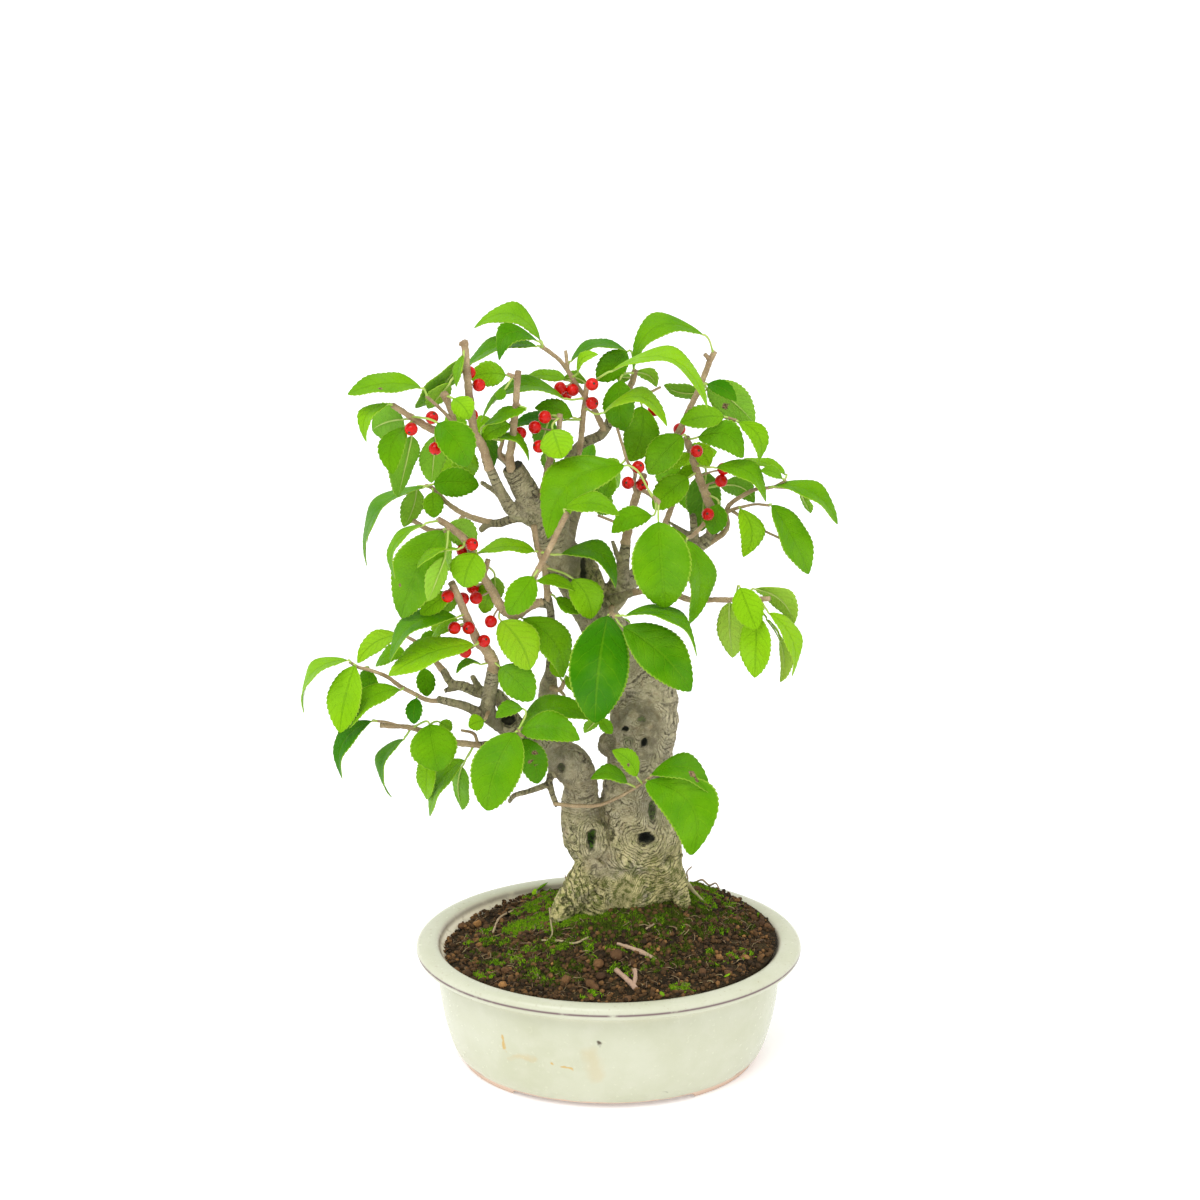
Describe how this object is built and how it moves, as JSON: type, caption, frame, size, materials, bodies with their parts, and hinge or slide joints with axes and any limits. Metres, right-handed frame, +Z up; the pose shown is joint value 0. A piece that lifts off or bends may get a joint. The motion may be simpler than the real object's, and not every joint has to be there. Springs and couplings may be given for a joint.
{
  "type": "potted bonsai tree",
  "caption": "Japanese winterberry bonsai with a thick twin trunk, drooping toothed leaves and red berries, planted in soil in an oval glazed pot with a rolled lip.",
  "frame": {"origin": "middle of the bounding box, at the level that the pot's foot stands on", "axes": "+Z up, +Y away from the viewer who faces the tree's front, +X to that viewer's right, along the pot's long side"},
  "size_m": [0.2006, 0.1414, 0.3023],
  "materials": {
    "glaze": "gloss",
    "soil": "matte",
    "bark": "matte",
    "foliage": "satin",
    "screen": "matte"
  },
  "bodies": {
    "root": {"pot": "glaze", "soil": "soil", "trunk": "bark", "shoot_upper_left": "foliage", "shoot_left_middle": "foliage", "shoot_left_inner": "foliage", "shoot_top_left": "foliage", "shoot_top_middle": "foliage", "shoot_inner_twig": "foliage", "shoot_grey_stub": "foliage", "shoot_centre": "foliage", "shoot_top_right": "foliage", "shoot_right_upper": "foliage", "shoot_right_middle": "foliage", "shoot_right_low": "foliage", "shoot_front": "foliage", "shoot_mid_stem": "foliage", "shoot_mid_left": "foliage", "shoot_left_fork": "foliage", "shoot_old_left": "foliage", "shoot_low_left_tip": "foliage", "shoot_low_left": "foliage", "shoot_low_front": "foliage", "shoot_left_sprout": "foliage", "shoot_knob": "foliage", "shoot_trunk_sprout": "foliage", "shoot_low_right": "foliage", "shoot_back_centre": "foliage", "shoot_back_right": "foliage", "shoot_back_left": "foliage", "shoot_back_low": "foliage", "drain_mesh_left": "screen", "drain_mesh_right": "screen"}
  },
  "joints": []
}
